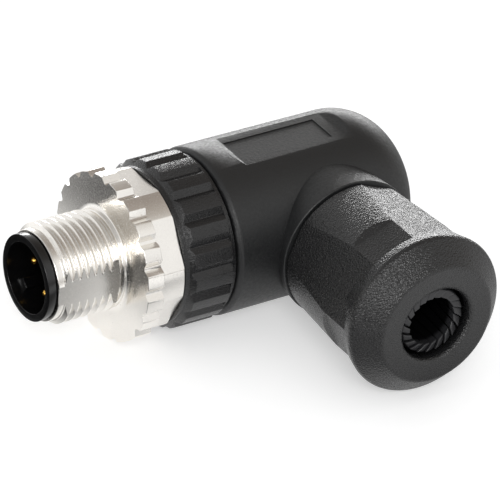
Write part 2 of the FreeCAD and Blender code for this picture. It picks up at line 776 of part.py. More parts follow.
# Angle housing: one hollow moulding with the spigot, the elbow, the branch and its neck
def make_angle_housing():
    body = new_body("angle_housing")
    place = size("branch_place")
    base = spin(body, "Revolution", "nose_part", [
        (size("spigot_front") - place, ZERO),
        (size("spigot_front") - place, radius("spigot_dia")),
        (size("housing_front") - place, radius("spigot_dia")),
        (size("housing_front") - place, radius("housing_dia")),
        (size("housing_tail"), radius("housing_rear_dia")),
        (size("housing_tail"), ZERO),
    ])
    lip = edges_where(base, lambda edge: is_ring(edge, size("housing_front") - place, radius("housing_dia")))
    base = soften(body, "Fillet", "lip_round", base, lip, size("housing_lip_round"))
    tail = edges_where(base, lambda edge: is_ring(edge, size("housing_tail"), radius("housing_rear_dia")))
    base = soften(body, "Fillet", "tail_round", base, tail, size("housing_tail_round"))

    # Branch and threaded neck, turned about the cable's axis
    spin(body, "Revolution", "branch_part", [
        (ZERO, ZERO),
        (radius("branch_base_dia"), ZERO),
        (radius("branch_base_dia"), -size("branch_end") / 2),
        (radius("branch_dia"), -size("branch_end")),
        (radius("neck_dia"), -size("branch_end")),
        (radius("neck_dia"), -size("neck_end")),
        (ZERO, -size("neck_end")),
    ], axis="V_Axis")

    # Label field: a milled flat whose two ends slope up to the surface
    field = new_sketch(body, "label_outline", "XZ_Plane")
    start = size("label_front") - place
    end = start + size("label_length")
    rise = size("label_floor") + size("label_ramp_height") * 2
    run = size("label_ramp_length") * 2
    draw_outline(field, [
        (start, size("label_floor")),
        (end, size("label_floor")),
        (end + run, rise),
        (start - run, rise),
    ])
    cut(body, "label_field", field, size("housing_dia"), symmetric=True)
    panel = new_sketch(body, "panel_outline", "XZ_Plane")
    panel_start = size("panel_front") - place
    draw_outline(panel, [
        (panel_start, size("label_floor") - size("panel_depth")),
        (panel_start + size("panel_length"), size("label_floor") - size("panel_depth")),
        (panel_start + size("panel_length"), size("label_floor") + size("panel_depth")),
        (panel_start, size("label_floor") + size("panel_depth")),
    ])
    cut(body, "label_panel", panel, size("panel_width"), symmetric=True)

    # Hollow inside: the insert's bore with the wiring chamber, and the stepped bore of the branch
    spin(body, "Groove", "insert_bore", [
        (size("spigot_front") - place - 1, ZERO),
        (size("spigot_front") - place - 1, radius("housing_bore")),
        (size("chamber_end") - radius("housing_bore") / 2, radius("housing_bore")),
        (size("chamber_end"), radius("housing_bore") / 2),
        (size("chamber_end"), ZERO),
    ])
    bore = spin(body, "Groove", "branch_bore", [
        (ZERO, ZERO),
        (radius("wire_bore"), ZERO),
        (radius("wire_bore"), -size("seal_seat")),
        (radius("neck_bore"), -size("seal_seat")),
        (radius("neck_bore"), -size("neck_end") - 1),
        (ZERO, -size("neck_end") - 1),
    ], axis="V_Axis")
    body.Tip = bore
    body.Placement = FreeCAD.Placement(FreeCAD.Vector(place.number, 0, 0), FreeCAD.Rotation())
    body.setExpression(".Placement.Base.x", place.text)


# Rubber grommet that seals on the cable
def make_cable_seal():
    body = new_body("cable_seal")
    front = size("seal_seat") + size("seat_gap")
    rear = size("cage_front") - size("seat_gap")
    spin(body, "Revolution", "grommet", [
        (front, radius("seal_bore")),
        (front, radius("neck_bore") - size("seat_gap")),
        (rear, radius("neck_bore") - size("seat_gap")),
        (rear, radius("seal_bore")),
    ])
    put_on_cable_axis(body)


# Clamp cage: a rim with slanted fingers that close on the cable
def make_clamp_cage():
    body = new_body("clamp_cage")
    wall = size("cage_tip_wall")
    spin(body, "Revolution", "blank", [
        (size("cage_front"), radius("cage_bore")),
        (size("cage_front"), radius("cage_rim_dia")),
        (size("cage_rim_end"), radius("cage_rim_dia")),
        (size("cage_rim_end"), radius("cage_bore") + wall * 3 / 2),
        (size("cage_end") - wall, radius("cage_tip_dia")),
        (size("cage_end"), radius("cage_tip_dia") - wall / 3),
        (size("cage_end"), radius("cage_tip_bore") + wall / 4),
        (size("cage_end") - wall / 4, radius("cage_tip_bore")),
        (size("cage_end") - wall * 3 / 2, radius("cage_tip_bore")),
        (size("cage_rim_end") + wall, radius("cage_bore")),
    ])
    slot_outline = new_sketch(body, "slot_outline", "XY_Plane")
    half = size("cage_slot") / 2
    twist = size("cage_twist") / 2
    start = size("cage_rim_end") + wall
    draw_outline(slot_outline, [
        (start, -twist - half),
        (size("cage_end") + 1, twist - half),
        (size("cage_end") + 1, twist + half),
        (start, -twist + half),
    ])
    slot = cut(body, "slot", slot_outline, radius("cage_rim_dia"), reversed_way=True)
    around(body, "slots", slot, count("cage_fingers"))
    put_on_cable_axis(body)


# Gland nut: tapered barrel with flats, a bead at its end and a cone inside that closes the cage
def make_gland_nut():
    body = new_body("gland_nut")
    thread_bore = radius("neck_dia") + size("running_gap")
    cone_start = radius("cage_rim_dia") + size("running_gap") * 3
    base = spin(body, "Revolution", "moulded_blank", [
        (size("nut_front"), thread_bore),
        (size("nut_front"), radius("nut_small_dia")),
        (size("nut_taper_end"), radius("nut_dia")),
        (size("nut_barrel_end"), radius("nut_dia")),
        (size("nut_flats_end"), radius("nut_flare_dia")),
        (size("bead_place"), radius("bead_dia")),
        (size("nut_end"), radius("bead_face_dia")),
        (size("nut_end"), radius("nut_mouth_dia")),
        (size("nut_cone_end"), radius("nut_mouth_dia")),
        (size("nut_thread_end") + 1, cone_start),
        (size("nut_thread_end"), thread_bore),
    ])
    mouth = edges_where(base, lambda edge: is_ring(edge, size("nut_end"), radius("nut_mouth_dia")))
    base = soften(body, "Fillet", "mouth_round", base, mouth, size("nut_mouth_round"))
    bead = edges_where(base, lambda edge: is_ring(edge, size("bead_place"), radius("bead_dia")))
    soften(body, "Fillet", "bead_round", base, bead, size("nut_mouth_round"))

    # Four long flats and, between them near the bead, four short spanner flats
    for name, across, turn, start in (
        ("long_flat", "nut_flats", size("nut_turn").number, size("nut_front") - 1),
        ("spanner_flat", "nut_spanner_flats", size("nut_turn").number + 45.0, size("nut_taper_end")),
    ):
        outline = new_sketch(body, name + "_outline", "YZ_Plane", start)
        flat_cutter(outline, size(across) / 2, radius("nut_flare_dia"), turn)
        flat = cut(body, name, outline, size("nut_flats_end") - start, reversed_way=True)
        around(body, name + "s", flat, 4)
    put_on_cable_axis(body)


make_coupling_screw()
make_retaining_clip()
make_union_ring()
make_contact_carrier()
for pin_number, pin_angle in contact_places():
    make_contact_pin(pin_number, pin_angle)
    make_terminal_screw(pin_number, pin_angle)
make_carrier_seal()
make_angle_housing()
make_cable_seal()
make_clamp_cage()
make_gland_nut()

doc.recompute()
failed = [item.Name for item in doc.Objects if "Invalid" in item.State or "Error" in item.State]
if failed:
    raise RuntimeError("these objects failed: " + ", ".join(failed))
for body in bodies:
    if body.Shape.isNull() or not body.Shape.isValid() or len(body.Shape.Solids) != 1:
        raise RuntimeError(body.Label + " is not one valid solid")

os.makedirs("parts", exist_ok=True)
for body in bodies:
    body.Shape.exportStep(os.path.join("parts", body.Label + ".step"))
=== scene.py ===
import math

import bpy
from mathutils import Matrix, Vector


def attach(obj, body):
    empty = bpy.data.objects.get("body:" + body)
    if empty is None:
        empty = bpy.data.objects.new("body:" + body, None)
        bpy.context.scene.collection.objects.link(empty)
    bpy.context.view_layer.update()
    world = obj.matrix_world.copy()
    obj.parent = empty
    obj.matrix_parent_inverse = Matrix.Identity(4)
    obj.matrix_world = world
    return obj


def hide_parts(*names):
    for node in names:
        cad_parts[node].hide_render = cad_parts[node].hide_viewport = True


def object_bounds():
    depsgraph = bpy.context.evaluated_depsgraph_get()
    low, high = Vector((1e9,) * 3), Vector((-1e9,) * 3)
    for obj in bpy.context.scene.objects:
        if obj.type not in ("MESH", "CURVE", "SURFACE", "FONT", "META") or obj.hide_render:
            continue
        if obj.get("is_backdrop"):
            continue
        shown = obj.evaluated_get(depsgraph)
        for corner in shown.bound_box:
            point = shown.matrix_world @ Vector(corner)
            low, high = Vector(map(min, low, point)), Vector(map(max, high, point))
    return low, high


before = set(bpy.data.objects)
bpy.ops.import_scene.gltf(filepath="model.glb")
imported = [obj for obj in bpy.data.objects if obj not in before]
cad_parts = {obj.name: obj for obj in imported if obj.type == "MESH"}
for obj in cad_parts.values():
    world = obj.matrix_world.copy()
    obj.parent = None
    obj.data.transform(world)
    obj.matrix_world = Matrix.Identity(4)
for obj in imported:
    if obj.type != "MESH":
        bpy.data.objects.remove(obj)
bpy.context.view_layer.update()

bl_info = {
    "name": "Angled M12 plug",
    "version": (1, 0, 0),
    "blender": (4, 5, 0),
    "location": "View3D > Sidebar > M12 plug",
    "description": "Models an angled, field-wireable M12 plug piece by piece, and its studio",
    "category": "Add Mesh",
}

MM = 0.001
FULL_TURN = 2 * math.pi
NOSE = "nose"
CABLE = "cable"
ELBOW = Vector((36.2 * MM, 0, 0))  # where the nose's axis meets the cable's
CLOSE = MM / 500  # vertices nearer than this are one
SHARP = math.radians(32)  # an edge that turns less than this is smooth
WHITE = (1.0, 1.0, 1.0, 1.0)
BLACK = (0.0, 0.0, 0.0, 1.0)


# Sizes and colours that a user would change

def length(name, description, millimetres):
    return bpy.props.FloatProperty(
        name=name, description=description, default=millimetres * MM, unit="LENGTH", precision=5,
        min=0.0
    )


def degrees(name, description, value):
    return bpy.props.FloatProperty(
        name=name, description=description, default=math.radians(value), unit="ROTATION",
        precision=3
    )


def amount(name, description, value):
    return bpy.props.IntProperty(name=name, description=description, default=value, min=1)


def number(name, description, value):
    return bpy.props.FloatProperty(name=name, description=description, default=value, precision=4)


def colour(name, description, code):
    return bpy.props.FloatVectorProperty(
        name=name, description=description, default=linear(code), subtype="COLOR", size=3, min=0.0,
        max=1.0
    )


def linear(code):
    """Linear colour of an sRGB hex value such as 1a2b3c."""
    steps = [int(code[i:i + 2], 16) / 255 for i in (0, 2, 4)]
    return [s / 12.92 if s <= 0.04045 else ((s + 0.055) / 1.055) ** 2.4 for s in steps]


class PlugNose(bpy.types.PropertyGroup):
    shroud_radius: length("Shroud radius", "Outside radius of the black shroud", 5.1)
    shroud_bore: length("Shroud bore", "Inside radius of the black shroud", 4.2)
    shroud_depth: length("Shroud depth", "Depth of the shroud's floor", 8.6)
    key_angle: degrees("Key angle", "Place of the key, counted from the cable side", 225.0)
    pin_radius: length("Pin radius", "Radius of a contact pin", 0.5)
    pin_circle: length("Pin circle", "Radius of the circle that the pins stand on", 2.8)
    thread_radius: length("Thread radius", "Crest radius of the M12 thread", 5.95)
    thread_root: length("Thread root", "Root radius of the M12 thread", 5.42)
    thread_pitch: length("Thread pitch", "Distance between two crests", 1.0)
    thread_flat: length("Thread flat", "Distance of each milled flat from the axis", 5.25)
    grip_radius: length("Grip radius", "Outside radius of the notched grip", 10.0)
    grip_notches: amount("Grip notches", "Notches around the grip", 20)
    hex_flat: length("Hexagon flat", "Distance of each hexagon face from the axis", 8.75)
    hex_corner: length("Hexagon corner", "Radius over the rounded corners of the hexagon", 9.25)


class PlugRing(bpy.types.PropertyGroup):
    rib_radius: length("Rib radius", "Outside radius over the ribs", 9.925)
    hub_radius: length("Hub radius", "Radius of the smooth front hub", 9.2)
    ribs: amount("Ribs", "Ribs around the ring", 20)
    groove_depth: length("Groove depth", "Depth of the V grooves between the ribs", 0.5)


class PlugHousing(bpy.types.PropertyGroup):
    front_radius: length("Front radius", "Body radius at its front lip", 9.95)
    rear_radius: length("Rear radius", "Body radius at its rear end", 9.85)
    tail_round: length("Tail round", "Rounding of the rear end", 7.0)
    branch_radius: length("Branch radius", "Radius at the rim of the branch", 8.65)
    label_height: length("Label height", "Height of the label field above the nose's axis", 9.4)


class PlugGland(bpy.types.PropertyGroup):
    small_radius: length("Small radius", "Nut radius next to the housing", 8.45)
    barrel_radius: length("Barrel radius", "Nut radius in front of its bead", 9.125)
    bead_radius: length("Bead radius", "Largest radius of the bead", 9.975)
    mouth_radius: length("Mouth radius", "Radius of the cable's way through the nut", 4.45)
    long_flat: length("Long flat", "Distance of the long flats from the cable's axis", 8.1)
    spanner_flat: length("Spanner flat", "Distance of the spanner flats from the cable's axis", 8.7)
    fingers: amount("Fingers", "Fingers of the clamp cage", 20)


class PlugFinish(bpy.types.PropertyGroup):
    nickel: colour("Nickel", "Satin nickel plate", "f4f1ec")
    gold: colour("Gold", "Gold plate of the contacts", "e0b155")
    insert: colour("Insert", "Smooth black moulding of the insert", "0b0b0c")
    housing: colour("Housing", "Fine matt moulding of the housing", "161718")
    grip: colour("Grip", "Coarse spark-eroded moulding of the ring and the nut", "1a1a1b")
    cage: colour("Cage", "Moulding of the clamp cage", "28282a")
    rubber: colour("Rubber", "Rubber of the seals", "161616")
    steel: colour("Steel", "Spring steel and plated screws", "b9b7b2")


class PlugStudio(bpy.types.PropertyGroup):
    camera_azimuth: degrees("Camera azimuth", "Turn of the camera from looking along +Y", -34.55)
    camera_elevation: degrees("Camera elevation", "Height of the camera over the horizon", 31.51)
    camera_roll: degrees("Camera roll", "Roll of the camera about its view", 4.23)
    camera_distance: length("Camera distance", "From the camera to the elbow", 771.4)
    focal_pixels: number("Focal length", "Focal length in pixels of the 500 pixel frame", 6711.1)
    target_across: number("Target across", "Pixel column where the elbow's axes meet", 296.38)
    target_down: number("Target down", "Pixel row where the elbow's axes meet", 203.45)
    sky_strength: number("Sky strength", "Even light from the surroundings", 0.7)
    paper_glow: number("Paper glow", "What the paper adds to its shade to look white", 0.42)


# Modelling tools

def deselect_all():
    if bpy.context.object and bpy.context.object.mode != "OBJECT":
        bpy.ops.object.mode_set(mode="OBJECT")
    bpy.ops.object.select_all(action="DESELECT")


def pick(piece, *others):
    """Select only this piece, with any others that join an operation on it."""
    deselect_all()
    for other in others:
        other.select_set(True)
    piece.select_set(True)
    bpy.context.view_layer.objects.active = piece
    return piece


def edit(piece, mode="VERT"):
    pick(piece)
    bpy.ops.object.mode_set(mode="EDIT")
    bpy.ops.mesh.select_mode(type=mode)


def leave_edit():
    bpy.ops.object.mode_set(mode="OBJECT")


def first_vertex(name, place):
    """Start a piece as a single vertex, merged from a small plane."""
    deselect_all()
    bpy.ops.mesh.primitive_plane_add(size=MM, location=(0, 0, 0))
    piece = bpy.context.object
    piece.name = name
    bpy.ops.object.mode_set(mode="EDIT")
    bpy.ops.mesh.select_mode(type="VERT")
    bpy.ops.mesh.select_all(action="SELECT")
    bpy.ops.mesh.merge(type="CENTER")
    bpy.ops.transform.translate(value=place)
    return piece


def draw(name, places, closed=True):
    """Pull an outline from a vertex to each of the places in turn, and stay in edit mode."""
    places = [Vector(place) for place in places]
    piece = first_vertex(name, places[0])
    stops = places[1:] + [places[0]] if closed else places[1:]
    here = places[0]
    for stop in stops:
        bpy.ops.mesh.extrude_vertices_move(TRANSFORM_OT_translate={"value": stop - here})
        here = stop
    bpy.ops.mesh.select_all(action="SELECT")
    bpy.ops.mesh.remove_doubles(threshold=CLOSE)
    return piece


def choose_vertices(piece, test):
    """In edit mode, select the vertices whose place passes the test."""
    bpy.ops.mesh.select_mode(type="VERT")
    bpy.ops.mesh.select_all(action="DESELECT")
    bpy.ops.object.mode_set(mode="OBJECT")
    for vertex in piece.data.vertices:
        vertex.select = test(vertex.co)
    bpy.ops.object.mode_set(mode="EDIT")


def on_axis(axis, along, out):
    """Place of an outline corner: its way along one of the two axes, and its distance from it."""
    if axis == NOSE:
        return Vector((along * MM, 0, out * MM))
    return Vector((ELBOW.x, -along * MM, out * MM))


def turned(name, axis, corners, steps=128, closed=True):
    """Turn an outline, given in millimetres, about one of the two axes.

    A corner gives its way along the axis, its distance from it and, if it has one, its rounding.
    """
    places = [on_axis(axis, corner[0], corner[1]) for corner in corners]
    piece = draw(name, places, closed)
    for corner, place in zip(corners, places):
        if len(corner) > 2:
            size = corner[2]
            choose_vertices(piece, lambda co, place=place: (co - place).length < MM / 200)
            bpy.ops.mesh.bevel(offset=size * MM, segments=round_steps(size), affect="VERTICES")
    bpy.ops.mesh.select_all(action="SELECT")
    line = (1, 0, 0) if axis == NOSE else (0, 1, 0)
    centre = (0, 0, 0) if axis == NOSE else ELBOW
    bpy.ops.mesh.spin(steps=steps, angle=FULL_TURN, center=centre, axis=line, use_auto_merge=True)
    close_mesh()
    return piece


def round_steps(size):
    """A fine edge needs 3 steps, a rounding that shows its shape 6, and the housing's end 24."""
    return 3 if size < 0.3 else 6 if size < 2 else 24


def close_mesh():
    """Merge doubles, point the faces outwards, and return to object mode."""
    bpy.ops.mesh.select_all(action="SELECT")
    bpy.ops.mesh.remove_doubles(threshold=CLOSE)
    bpy.ops.mesh.normals_make_consistent(inside=False)
    bpy.ops.object.mode_set(mode="OBJECT")


def pulled(name, places, pull):
    """A body between an outline and the same outline some way off."""
    piece = draw(name, places)
    bpy.ops.mesh.edge_face_add()
    bpy.ops.mesh.extrude_region_move(TRANSFORM_OT_translate={"value": pull})
    close_mesh()
    return piece


def prism(name, axis, outline, start, end):
    """Extrude an outline, given across the nose or the cable's axis, from start to end along it."""
    if axis == NOSE:
        places = [Vector((start * MM, across * MM, up * MM)) for across, up in outline]
        pull = Vector(((end - start) * MM, 0, 0))
    else:
        places = [Vector((ELBOW.x + across * MM, -start * MM, up * MM)) for across, up in outline]
        pull = Vector((0, (start - end) * MM, 0))
    return pulled(name, places, pull)


def slab(name, outline, half_width):
    """Extrude an outline, given along the nose and up to the label, to both sides."""
    places = [Vector((along * MM, -half_width * MM, up * MM)) for along, up in outline]
    return pulled(name, places, Vector((0, 2 * half_width * MM, 0)))


def apply_transform():
    """Put the place and the turn of the selected piece into its mesh."""
    bpy.ops.object.transform_apply(location=True, rotation=True, scale=True)


def modify(piece, kind, **settings):
    """Add a modifier to a piece, set it and apply it."""
    pick(piece)
    bpy.ops.object.modifier_add(type=kind)
    modifier = piece.modifiers[-1]
    for name, value in settings.items():
        setattr(modifier, name, value)
    bpy.ops.object.modifier_apply(modifier=modifier.name)


def turn_about(piece, axis, angle):
    """Turn a piece's mesh about an axis."""
    if axis == NOSE:
        turn = Matrix.Rotation(angle, 4, "X")
    else:
        turn = Matrix.Rotation(angle, 4, "Y")
        turn = Matrix.Translation(ELBOW) @ turn @ Matrix.Translation(-ELBOW)
    pick(piece)
    piece.matrix_world = turn @ piece.matrix_world
    apply_transform()
    return piece


def repeat(piece, axis, copies):
    """Copy a piece evenly around an axis and join the copies to it."""
    made = []
    for i in range(1, copies):
        pick(piece)
        bpy.ops.object.duplicate()
        made.append(turn_about(bpy.context.object, axis, FULL_TURN * i / copies))
    pick(piece, *made)
    if made:
        bpy.ops.object.join()
    return piece


def rod(radius, depth, place, turn):
    """A round cutter around a place in millimetres, upright before its turn."""
    deselect_all()
    bpy.ops.mesh.primitive_cylinder_add(
        vertices=48, radius=radius * MM, depth=depth * MM, location=[way * MM for way in place],
        rotation=turn
    )
    apply_transform()
    return bpy.context.object


def combine(piece, other, way="DIFFERENCE"):
    """Cut another piece out of this one, or add it, and remove the other."""
    modify(piece, "BOOLEAN", operation=way, solver="EXACT", object=other)
    deselect_all()
    other.select_set(True)
    bpy.ops.object.delete()
    if not piece.data.polygons:
        raise RuntimeError(piece.name + " is empty after it was combined")
    edit(piece)
    close_mesh()
    return piece


def close_slivers(piece):
    """Draw together the corners of the tiny triangles that a cut has left open."""
    edit(piece)
    bpy.ops.mesh.select_all(action="DESELECT")
    bpy.ops.mesh.select_non_manifold()
    bpy.ops.mesh.remove_doubles(threshold=MM / 80)
    close_mesh()


def soften(piece, width, angle=25.0, steps=2):
    """Round every edge that is sharper than an angle."""
    modify(piece, "BEVEL", width=width * MM, segments=steps, limit_method="ANGLE",
           angle_limit=math.radians(angle), miter_outer="MITER_ARC", use_clamp_overlap=True,
           harden_normals=False)


def groove_outline(root, crest, pitch):
    """Half the outline of a 60 degree thread groove, from its rounded floor to beyond the crest."""
    depth = crest - root
    floor = pitch / 8
    mouth = floor + depth * math.tan(math.radians(30))
    return [
        (floor * 0.6, root), (floor * 1.25, root + depth * 0.08),
        (mouth - 0.04 * pitch, crest - depth * 0.14), (mouth + 0.01 * pitch, crest - depth * 0.03),
        (mouth + 0.035 * pitch, crest + depth * 0.1),
    ]


def helix_groove(name, axis, root, crest, pitch, start, turns, phase=0.0):
    """A wound cutter for a thread groove. The start is in millimetres and the phase in degrees."""
    half = groove_outline(root, crest, pitch)
    mirrored = [(-across, out) for across, out in reversed(half)]
    outline = mirrored[-1:] + half + mirrored[:-1]
    piece = draw(name, [Vector((across * MM, 0, out * MM)) for across, out in outline])
    leave_edit()
    steps = int(96 * turns)
    modify(piece, "SCREW", axis="X", angle=FULL_TURN * turns, screw_offset=pitch * turns * MM,
           steps=steps, render_steps=steps, use_merge_vertices=False, use_smooth_shade=False)
    edit(piece, "EDGE")
    bpy.ops.mesh.select_all(action="DESELECT")
    bpy.ops.mesh.select_non_manifold(
        use_wire=False, use_multi_face=False, use_non_contiguous=False, use_verts=False
    )
    bpy.ops.mesh.fill()
    close_mesh()
    turn = Matrix.Translation((start * MM, 0, 0)) @ Matrix.Rotation(math.radians(phase), 4, "X")
    if axis == CABLE:
        turn = Matrix.Translation(ELBOW) @ Matrix.Rotation(math.radians(-90), 4, "Z") @ turn
    pick(piece)
    piece.matrix_world = turn
    apply_transform()
    return piece


def polar(reach, angle):
    return (reach * math.cos(math.radians(angle)), reach * math.sin(math.radians(angle)))


def nose_angle(angle):
    """Angle across the nose of a place counted from the cable side towards the label."""
    return 180.0 - angle


def past(inner, surface):
    """Corner of a cutter beyond the surface, on the line from an inner corner through it."""
    return tuple(start + (stop - start) * 1.5 for start, stop in zip(inner, surface))


def wedge_cutter(name, floor, surface, middle, floor_half, mouth_half, start, end):
    """A groove cutter across the nose that opens from its floor to the surface."""
    low = polar(floor, nose_angle(middle - floor_half))
    high = polar(floor, nose_angle(middle + floor_half))
    return prism(name, NOSE, [
        low, high, past(high, polar(surface, nose_angle(middle + mouth_half))),
        past(low, polar(surface, nose_angle(middle - mouth_half))),
    ], start, end)


def chord_cutter(name, axis, apothem, corner, middle, start, end):
    """A block outside a flat, a little wider than the flat is on a body of the corner's radius."""
    half = math.degrees(math.acos(apothem / corner)) + 3.0
    near, far = apothem / math.cos(math.radians(half)), corner * 1.2
    return prism(name, axis, [
        polar(near, middle - half), polar(far, middle - half), polar(far, middle + half),
        polar(near, middle + half),
    ], start, end)


def lead_in(cutter, reach, rise):
    """Draw the inner end of a cable-side cutter towards the housing and away from the axis."""
    start = max(vertex.co.y for vertex in cutter.data.vertices)
    edit(cutter)
    choose_vertices(cutter, lambda co: co.y > start - MM / 100)
    bpy.ops.mesh.select_mode(type="FACE")
    pull = (rise[0] * MM, reach * MM, rise[1] * MM)
    bpy.ops.mesh.extrude_region_move(TRANSFORM_OT_translate={"value": pull})
    close_mesh()


def finish_piece(piece, body, slot, material, *nodes):
    """Smooth the faces, give the finish, and stand the piece in for its CAD nodes on its body."""
    pick(piece)
    apply_transform()
    bpy.ops.object.shade_smooth_by_angle(angle=SHARP)
    modify(piece, "WEIGHTED_NORMAL", keep_sharp=True)
    piece.data.materials.clear()
    piece.data.materials.append(bpy.data.materials[material])
    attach(piece, body)
    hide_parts(*nodes)


# Finishes

def add(tree, kind, links=None, **settings):
    """Add a node with its properties. Its inputs get values, or links to other nodes' outputs."""
    node = tree.nodes.new(kind)
    for name, value in settings.items():
        setattr(node, name, value)
    for key, value in (links or {}).items():
        socket = node.inputs[key]
        if isinstance(value, bpy.types.NodeSocket):
            tree.links.new(value, socket)
        else:
            socket.default_value = value
    return node


def new_tree(name):
    """The emptied node tree of a new material."""
    material = bpy.data.materials.new(name)
    material.use_nodes = True
    material.node_tree.nodes.clear()
    return material.node_tree


def shade(tree, shader):
    add(tree, "ShaderNodeOutputMaterial", {"Surface": shader.outputs[0]})


def with_alpha(rgb, factor=1.0):
    return (min(rgb[0] * factor, 1.0), min(rgb[1] * factor, 1.0), min(rgb[2] * factor, 1.0), 1.0)


def grain(tree, size, detail=2.0, roughness=0.5):
    """Noise whose spots are about as large as size, in millimetres."""
    place = add(tree, "ShaderNodeTexCoord").outputs["Object"]
    return add(tree, "ShaderNodeTexNoise", {
        "Vector": place, "Scale": 0.5 / (size * MM), "Detail": detail, "Roughness": roughness,
    }).outputs["Fac"]


def spread(tree, noise, low, high):
    """Stretch a noise, which mostly stays between 0.3 and 0.7, to low..high."""
    return add(tree, "ShaderNodeMapRange", {
        "Value": noise, "From Min": 0.3, "From Max": 0.7, "To Min": low, "To Max": high,
    }).outputs["Result"]


def tone(tree, value, dark, light):
    """Colour between two tones of the same paint."""
    return add(tree, "ShaderNodeMix", {0: value, 6: dark, 7: light}, data_type="RGBA").outputs[2]


def ramp(tree, value, start, end, low, high):
    """A smooth change from low to high while the value goes from start to end."""
    return add(tree, "ShaderNodeMapRange", {
        "Value": value, "From Min": start, "From Max": end, "To Min": low, "To Max": high,
    }, interpolation_type="SMOOTHSTEP").outputs["Result"]


def combine_values(tree, way, first, second):
    """The outcome of a sum, a product, the larger of two or the like."""
    return add(tree, "ShaderNodeMath", {0: first, 1: second}, operation=way).outputs[0]


def parts_of(tree, vector):
    """The X, Y and Z of a vector."""
    return add(tree, "ShaderNodeSeparateXYZ", {0: vector}).outputs


def bump(tree, height, depth, under=None):
    """Normals over a relief of some millimetres' depth."""
    links = {"Height": height, "Distance": depth * MM, "Strength": 1.0}
    if under is not None:
        links["Normal"] = under
    return add(tree, "ShaderNodeBump", links).outputs["Normal"]


# Name, width and depth of the craters in millimetres, and least roughness
SPARK_ERODED = (
    ("fine_spark_eroded_polyamide", 0.15, 0.03, 0.17),
    ("coarse_spark_eroded_polyamide", 0.21, 0.055, 0.22),
)


